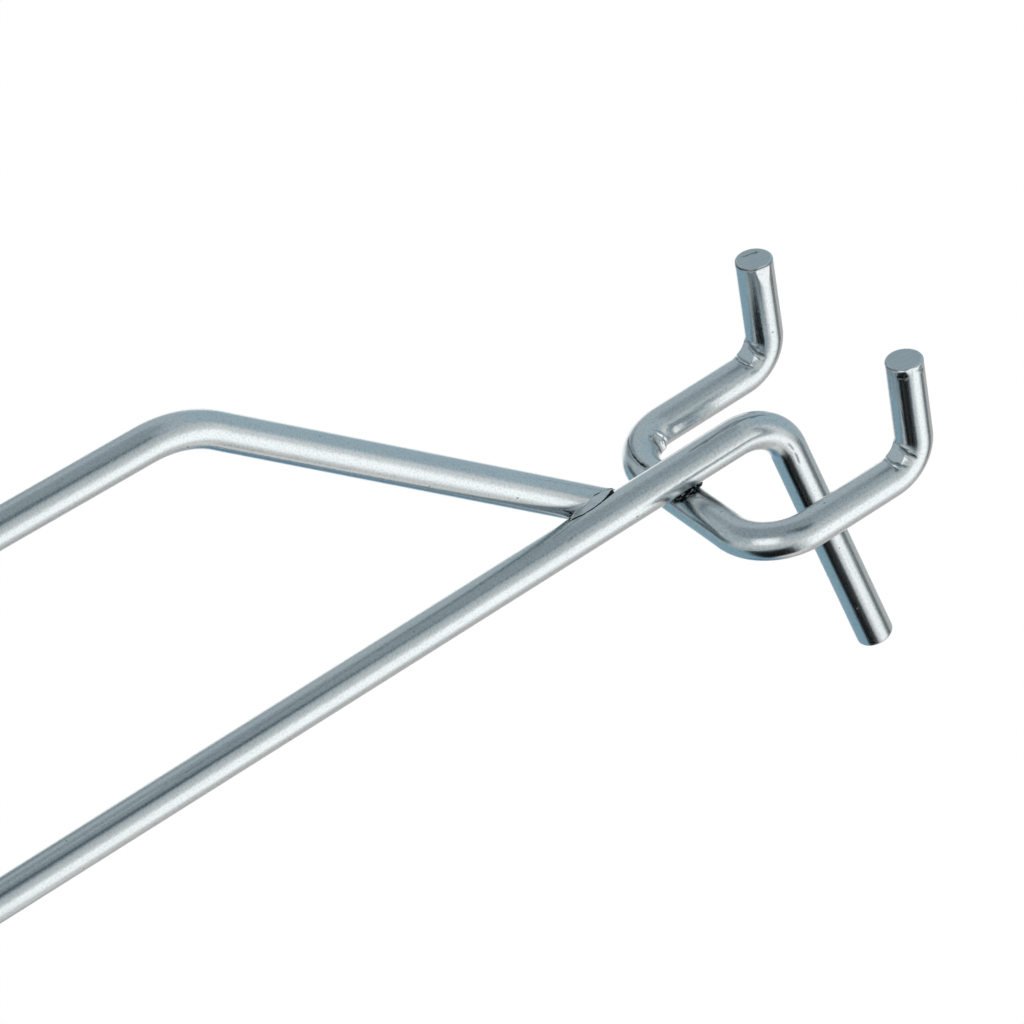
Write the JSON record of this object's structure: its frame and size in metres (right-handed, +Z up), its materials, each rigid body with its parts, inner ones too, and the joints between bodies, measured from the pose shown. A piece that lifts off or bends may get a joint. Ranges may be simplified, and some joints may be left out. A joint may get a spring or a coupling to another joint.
{
  "type": "pegboard hook",
  "caption": "Welded wire pegboard hook: a straight goods arm with a rear leg, a raised label arm, and a pronged yoke that grips the board.",
  "frame": {"origin": "on the board's front face, midway between the axes of the two prongs", "axes": "+X to the right seen from the front, +Y into the board, +Z up as the hook hangs"},
  "size_m": [0.0294, 0.1574, 0.1008],
  "materials": {
    "zinc_plated_wire": "bright zinc plate on drawn steel wire"
  },
  "bodies": {
    "root": {"lower_arm": "zinc_plated_wire", "prong_yoke": "zinc_plated_wire", "label_arm": "zinc_plated_wire"}
  },
  "joints": []
}
